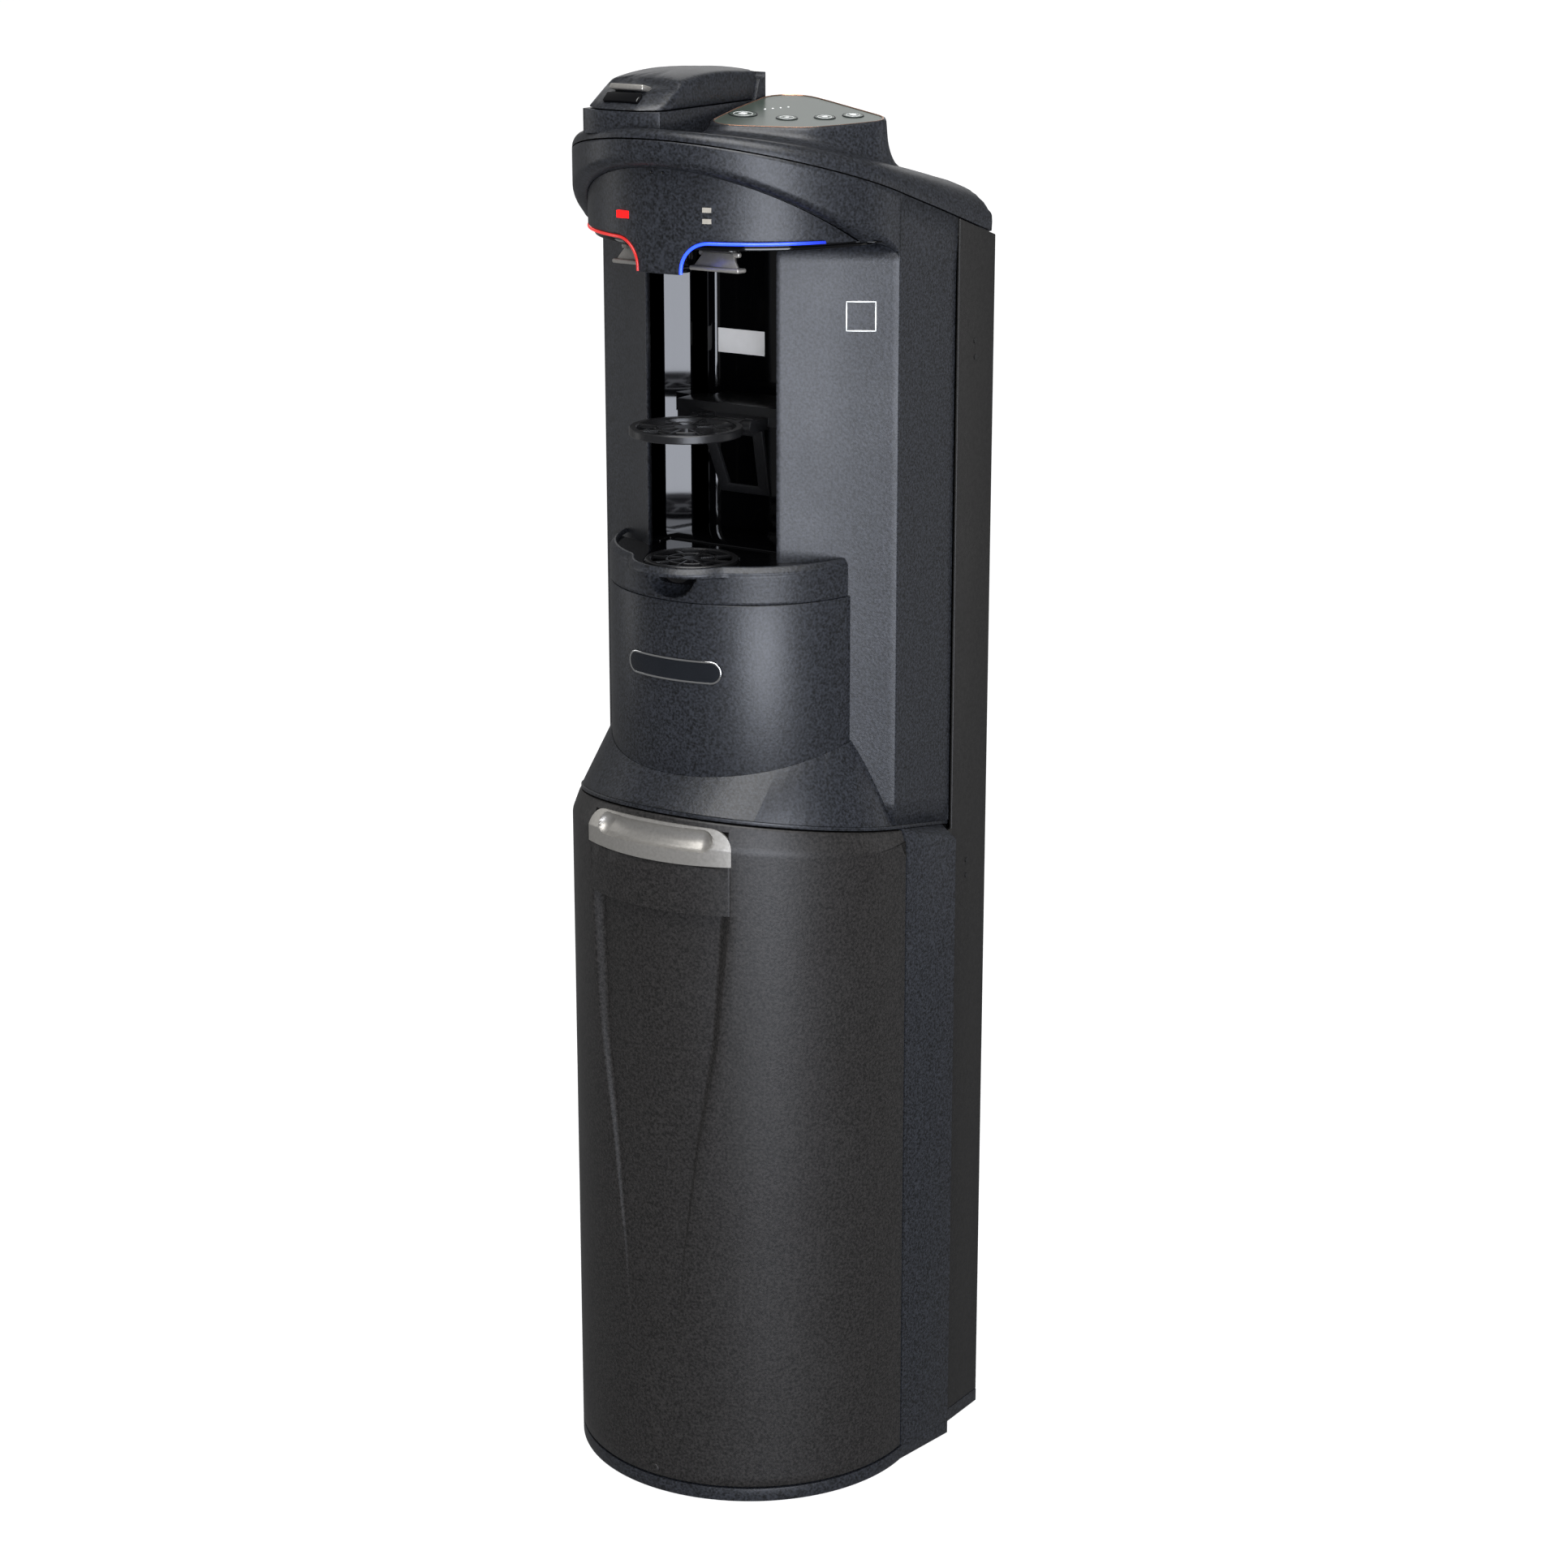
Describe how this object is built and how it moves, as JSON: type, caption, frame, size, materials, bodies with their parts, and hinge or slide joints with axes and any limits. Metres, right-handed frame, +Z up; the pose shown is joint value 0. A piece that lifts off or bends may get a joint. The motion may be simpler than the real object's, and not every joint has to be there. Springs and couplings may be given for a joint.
{
  "type": "bottom-loading water cooler with pod brewer",
  "caption": "Floor-standing bottom-loading water cooler with a bowed door, a lit dispensing recess, a folding cup stand, a drip tray and a single-cup pod brewer on its head.",
  "frame": {"origin": "on the floor under the middle of the cooler, on the axis of the bowed door", "axes": "+Z up; the door and the dispensing recess face -Y; +X to the right of a person in front of it"},
  "size_m": [0.328, 0.313, 1.236],
  "materials": {
    "black_satin": "fine-grained satin moulding",
    "door_black": "fine-grained satin moulding, slightly warmer",
    "side_black": "matt painted side sheet",
    "gloss_black": "polished",
    "silver": "satin silver paint on plastic",
    "steel": "plain",
    "black_metal": "black paint",
    "rubber": "matt",
    "red_glow": "lit red light guide",
    "blue_glow": "lit blue light guide",
    "pale_lens": "milky indicator lens",
    "panel_green": "dark grey-green gloss overlay",
    "grey_inside": "moulded inner liner"
  },
  "bodies": {
    "cooler": {"base_pan": "black_satin", "levelling_feet": "rubber", "bottle_platform": "grey_inside", "pillar_left": "black_satin", "pillar_right": "black_satin", "side_panel_left": "side_black", "side_panel_right": "side_black", "back_panel": "black_metal", "cabinet_divider": "grey_inside", "upper_floor": "black_satin", "wing_left": "black_satin", "wing_right": "black_satin", "tray_column": "black_satin", "flared_skirt": "black_satin", "recess_liner": "gloss_black", "recess_deck": "gloss_black", "recess_ceiling": "gloss_black", "hood_band": "black_satin", "nose_fascia": "black_satin", "red_light_pipe": "red_glow", "blue_light_pipe": "blue_glow", "indicator_lenses": "pale_lens", "water_spouts": "steel", "brew_outlet": "gloss_black", "head_cap": "black_satin", "brewer_base": "black_satin", "pod_bezel": "black_satin", "control_panel": "panel_green", "stand_bracket": "gloss_black", "stand_leg": "gloss_black", "condenser_coil": "black_metal", "compressor": "black_metal", "cold_tank": "steel", "hot_tank": "steel", "water_pump": "grey_inside", "suction_tube": "pale_lens", "rear_sockets": "gloss_black", "badge": "silver", "case_screws": "black_metal", "hinge_pins": "steel"},
    "door": {"door_shell": "door_black", "door_insert": "door_black", "door_panel": "door_black", "door_handle": "silver", "door_liner": "grey_inside", "door_plug": "black_satin"},
    "tray": {"drip_tray": "black_satin"},
    "grille": {"tray_grille": "gloss_black"},
    "stand": {"cup_stand": "gloss_black"},
    "hot_lever": {"hot_paddle": "silver"},
    "cold_lever": {"cold_paddle": "silver"},
    "hot_push": {"hot_button": "red_glow"},
    "lid": {"brewer_lid": "black_satin"},
    "latch": {"latch_button": "silver"},
    "pod_cup": {"pod_holder": "gloss_black"},
    "brew_key": {"brew_button": "panel_green"},
    "small_key": {"small_cup_button": "panel_green"},
    "medium_key": {"medium_cup_button": "panel_green"},
    "large_key": {"large_cup_button": "panel_green"},
    "rocker": {"power_rocker": "red_glow"}
  },
  "joints": [
    {"name": "door_hinge", "type": "hinge", "parent": "cooler", "child": "door", "pos_m": [-0.146, 0.002, 0.3], "axis": [0, 0, -1], "range_deg": [0, 100]},
    {"name": "tray_slide", "type": "slide", "parent": "cooler", "child": "tray", "axis": [0, -1, 0], "range_m": [0, 0.08]},
    {"name": "grille_lift", "type": "slide", "parent": "tray", "child": "grille", "axis": [0, 0, 1], "range_m": [0, 0.03]},
    {"name": "stand_fold", "type": "hinge", "parent": "cooler", "child": "stand", "pos_m": [0, -0.038, 0.944], "axis": [-1, 0, 0], "range_deg": [0, 90]},
    {"name": "hot_lever_hinge", "type": "hinge", "parent": "cooler", "child": "hot_lever", "pos_m": [-0.0385, -0.098, 1.095], "axis": [1, 0, 0], "range_deg": [0, 12], "stiffness_Nm_per_rad": 0.12, "springref_deg": -17.19},
    {"name": "cold_lever_hinge", "type": "hinge", "parent": "cooler", "child": "cold_lever", "pos_m": [0.0385, -0.098, 1.095], "axis": [1, 0, 0], "range_deg": [0, 12], "stiffness_Nm_per_rad": 0.12, "springref_deg": -17.19},
    {"name": "hot_push_slide", "type": "slide", "parent": "cooler", "child": "hot_push", "axis": [0, 1, 0], "range_m": [0, 0.002], "stiffness_N_per_m": 300},
    {"name": "lid_hinge", "type": "hinge", "parent": "cooler", "child": "lid", "pos_m": [-0.038, 0.021, 1.231], "axis": [-1, 0, 0], "range_deg": [0, 80]},
    {"name": "latch_slide", "type": "slide", "parent": "lid", "child": "latch", "axis": [0, 1, 0], "range_m": [0, 0.002], "stiffness_N_per_m": 300},
    {"name": "pod_cup_lift", "type": "slide", "parent": "cooler", "child": "pod_cup", "axis": [0, 0, 1], "range_m": [0, 0.02]},
    {"name": "brew_key_press", "type": "slide", "parent": "cooler", "child": "brew_key", "axis": [-0.0795, 0.0795, -0.9937], "range_m": [0, 0.001], "stiffness_N_per_m": 400},
    {"name": "small_key_press", "type": "slide", "parent": "cooler", "child": "small_key", "axis": [-0.0795, 0.0795, -0.9937], "range_m": [0, 0.001], "stiffness_N_per_m": 400},
    {"name": "medium_key_press", "type": "slide", "parent": "cooler", "child": "medium_key", "axis": [-0.0795, 0.0795, -0.9937], "range_m": [0, 0.001], "stiffness_N_per_m": 400},
    {"name": "large_key_press", "type": "slide", "parent": "cooler", "child": "large_key", "axis": [-0.0795, 0.0795, -0.9937], "range_m": [0, 0.001], "stiffness_N_per_m": 400},
    {"name": "rocker_hinge", "type": "hinge", "parent": "cooler", "child": "rocker", "pos_m": [0.055, 0.148, 0.655], "axis": [1, 0, 0], "range_deg": [-8, 8]}
  ],
  "couplings": [
    {"joint": "pod_cup_lift", "follows": "lid_hinge", "m_per_rad": 0.0143}
  ]
}
